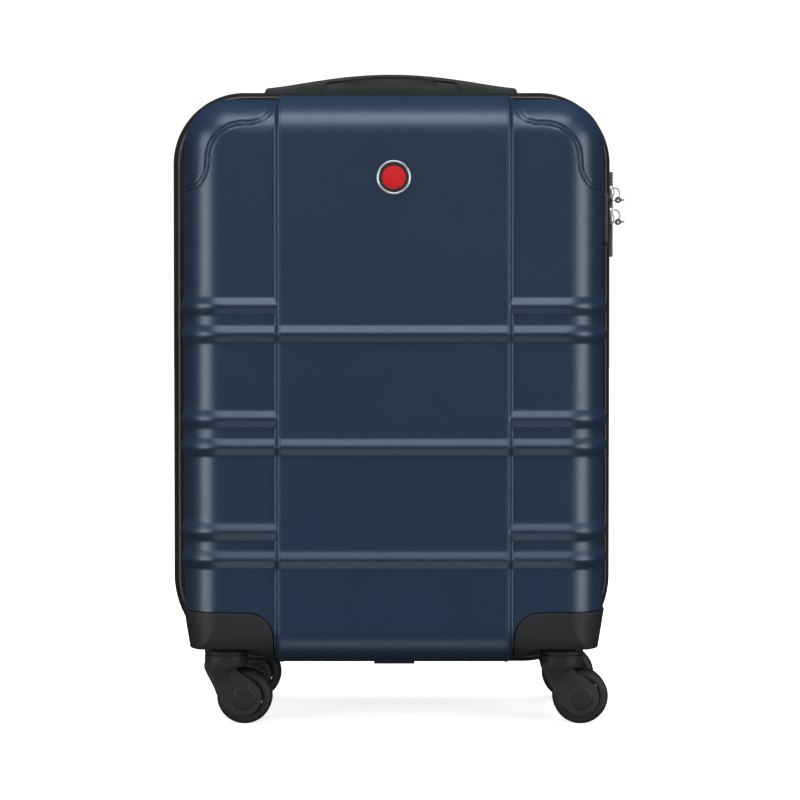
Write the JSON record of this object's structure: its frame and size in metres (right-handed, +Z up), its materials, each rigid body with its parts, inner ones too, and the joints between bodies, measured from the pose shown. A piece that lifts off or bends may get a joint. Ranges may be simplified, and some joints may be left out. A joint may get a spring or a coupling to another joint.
{
  "type": "hard shell suitcase",
  "caption": "Upright hard shell cabin suitcase with ribbed half shells, zip closure, combination lock, carry handle, telescopic trolley handle and spinner casters.",
  "frame": {"origin": "on the floor, under the centre of the object's box at rest", "axes": "+X to the lock side, +Y from the front half to the rear half, +Z up"},
  "size_m": [0.3897, 0.2026, 0.55],
  "materials": {
    "shell_front": "satin moulded ABS, navy",
    "shell_rear": "satin moulded ABS, navy",
    "band_fabric": "woven polyester, black",
    "zip_coil": "nylon coil, black",
    "black_plastic": "fine texture, black",
    "tyre_rubber": "matte",
    "black_rubber": "soft matte",
    "lock_plastic": "satin, dark grey",
    "dial_plastic": "satin, grey",
    "bright_metal": "bright plated",
    "tube_aluminium": "satin anodised",
    "red_enamel": "gloss",
    "lining_cloth": "thin woven polyester, grey"
  },
  "bodies": {
    "rear_case": {"rear_shell": "shell_rear", "rear_band": "band_fabric", "rear_zip": "zip_coil", "hinge_tape": "band_fabric", "slider_stay": "black_rubber", "handle_mount_left": "black_plastic", "handle_mount_right": "black_plastic", "trolley_bezel": "black_plastic", "trolley_outer_tube_left": "tube_aluminium", "trolley_outer_tube_right": "tube_aluminium", "trolley_foot": "black_plastic", "rear_lining": "lining_cloth", "packing_strap_left": "band_fabric", "packing_strap_right": "band_fabric", "strap_buckle": "black_plastic", "bottom_pad": "black_rubber", "caster_housing_rear_left": "black_plastic", "caster_housing_rear_right": "black_plastic"},
    "front_case": {"front_shell": "shell_front", "front_band": "band_fabric", "front_zip": "zip_coil", "lock_body": "lock_plastic", "badge_ring": "bright_metal", "badge_disc": "red_enamel", "front_lining": "lining_cloth", "caster_housing_front_left": "black_plastic", "caster_housing_front_right": "black_plastic"},
    "carry_handle": {"carry_grip": "black_rubber"},
    "trolley_middle": {"trolley_middle_tube_left": "tube_aluminium", "trolley_middle_tube_right": "tube_aluminium"},
    "trolley_upper": {"trolley_inner_tube_left": "tube_aluminium", "trolley_inner_tube_right": "tube_aluminium", "trolley_grip": "black_plastic"},
    "trolley_release": {"trolley_button": "black_rubber"},
    "slider_upper": {"zip_slider_upper": "bright_metal"},
    "slider_lower": {"zip_slider_lower": "bright_metal"},
    "pull_upper": {"zip_pull_upper": "bright_metal"},
    "pull_lower": {"zip_pull_lower": "bright_metal"},
    "dial_1": {"lock_dial_1": "dial_plastic"},
    "dial_2": {"lock_dial_2": "dial_plastic"},
    "dial_3": {"lock_dial_3": "dial_plastic"},
    "lock_release": {"lock_button": "lock_plastic"},
    "key_barrel": {"key_cylinder": "bright_metal"},
    "swivel_front_left": {"caster_fork_front_left": "black_plastic", "caster_axle_front_left": "black_plastic"},
    "wheel_front_left": {"wheel_core_front_left": "black_plastic", "wheel_tyre_front_left": "tyre_rubber"},
    "swivel_front_right": {"caster_fork_front_right": "black_plastic", "caster_axle_front_right": "black_plastic"},
    "wheel_front_right": {"wheel_core_front_right": "black_plastic", "wheel_tyre_front_right": "tyre_rubber"},
    "swivel_rear_left": {"caster_fork_rear_left": "black_plastic", "caster_axle_rear_left": "black_plastic"},
    "wheel_rear_left": {"wheel_core_rear_left": "black_plastic", "wheel_tyre_rear_left": "tyre_rubber"},
    "swivel_rear_right": {"caster_fork_rear_right": "black_plastic", "caster_axle_rear_right": "black_plastic"},
    "wheel_rear_right": {"wheel_core_rear_right": "black_plastic", "wheel_tyre_rear_right": "tyre_rubber"}
  },
  "joints": [
    {"name": "case_hinge", "type": "hinge", "parent": "rear_case", "child": "front_case", "pos_m": [-0.1948, 0, 0.29], "axis": [0, 0, -1], "range_deg": [0, 180]},
    {"name": "carry_handle_lift", "type": "slide", "parent": "rear_case", "child": "carry_handle", "axis": [0, 0, 1], "range_m": [0, 0.012]},
    {"name": "trolley_lower_stage", "type": "slide", "parent": "rear_case", "child": "trolley_middle", "axis": [0, 0, 1], "range_m": [0, 0.235]},
    {"name": "trolley_upper_stage", "type": "slide", "parent": "trolley_middle", "child": "trolley_upper", "axis": [0, 0, 1], "range_m": [0, 0.235]},
    {"name": "trolley_button_press", "type": "slide", "parent": "trolley_upper", "child": "trolley_release", "axis": [0, 0, -1], "range_m": [0, 0.003], "stiffness_N_per_m": 500, "springref_m": -0.001},
    {"name": "zip_slider_upper_run", "type": "slide", "parent": "rear_case", "child": "slider_upper", "axis": [0, 0, 1], "range_m": [0, 0.024]},
    {"name": "zip_slider_lower_run", "type": "slide", "parent": "rear_case", "child": "slider_lower", "axis": [0, 0, 1], "range_m": [-0.3, 0]},
    {"name": "zip_pull_upper_swing", "type": "hinge", "parent": "slider_upper", "child": "pull_upper", "pos_m": [0.1871, 0, 0.4395], "axis": [0, 1, 0], "range_deg": [-90, 90]},
    {"name": "zip_pull_lower_swing", "type": "hinge", "parent": "slider_lower", "child": "pull_lower", "pos_m": [0.1871, 0, 0.4207], "axis": [0, 1, 0], "range_deg": [-90, 90]},
    {"name": "lock_dial_1_spin", "type": "hinge", "parent": "front_case", "child": "dial_1", "pos_m": [0.1671, -0.026, 0.4305], "axis": [0, 0, 1], "continuous": true},
    {"name": "lock_dial_2_spin", "type": "hinge", "parent": "front_case", "child": "dial_2", "pos_m": [0.1671, -0.026, 0.4231], "axis": [0, 0, 1], "continuous": true},
    {"name": "lock_dial_3_spin", "type": "hinge", "parent": "front_case", "child": "dial_3", "pos_m": [0.1671, -0.026, 0.4157], "axis": [0, 0, 1], "continuous": true},
    {"name": "lock_button_press", "type": "slide", "parent": "front_case", "child": "lock_release", "axis": [-1, 0, 0], "range_m": [0, 0.002], "stiffness_N_per_m": 400, "springref_m": -0.0005},
    {"name": "key_turn", "type": "hinge", "parent": "front_case", "child": "key_barrel", "pos_m": [0.1742, -0.026, 0.4063], "axis": [1, 0, 0], "range_deg": [0, 90]},
    {"name": "swivel_front_left_turn", "type": "hinge", "parent": "front_case", "child": "swivel_front_left", "pos_m": [-0.1449, -0.062, 0.062], "axis": [0, 0, 1], "continuous": true},
    {"name": "wheel_front_left_roll", "type": "hinge", "parent": "swivel_front_left", "child": "wheel_front_left", "pos_m": [-0.1295, -0.062, 0.023], "axis": [0, 1, 0], "continuous": true},
    {"name": "swivel_front_right_turn", "type": "hinge", "parent": "front_case", "child": "swivel_front_right", "pos_m": [0.1341, -0.062, 0.062], "axis": [0, 0, 1], "continuous": true},
    {"name": "wheel_front_right_roll", "type": "hinge", "parent": "swivel_front_right", "child": "wheel_front_right", "pos_m": [0.1495, -0.062, 0.023], "axis": [0, 1, 0], "continuous": true},
    {"name": "swivel_rear_left_turn", "type": "hinge", "parent": "rear_case", "child": "swivel_rear_left", "pos_m": [-0.1449, 0.062, 0.062], "axis": [0, 0, 1], "continuous": true},
    {"name": "wheel_rear_left_roll", "type": "hinge", "parent": "swivel_rear_left", "child": "wheel_rear_left", "pos_m": [-0.1295, 0.062, 0.023], "axis": [0, 1, 0], "continuous": true},
    {"name": "swivel_rear_right_turn", "type": "hinge", "parent": "rear_case", "child": "swivel_rear_right", "pos_m": [0.1341, 0.062, 0.062], "axis": [0, 0, 1], "continuous": true},
    {"name": "wheel_rear_right_roll", "type": "hinge", "parent": "swivel_rear_right", "child": "wheel_rear_right", "pos_m": [0.1495, 0.062, 0.023], "axis": [0, 1, 0], "continuous": true}
  ]
}
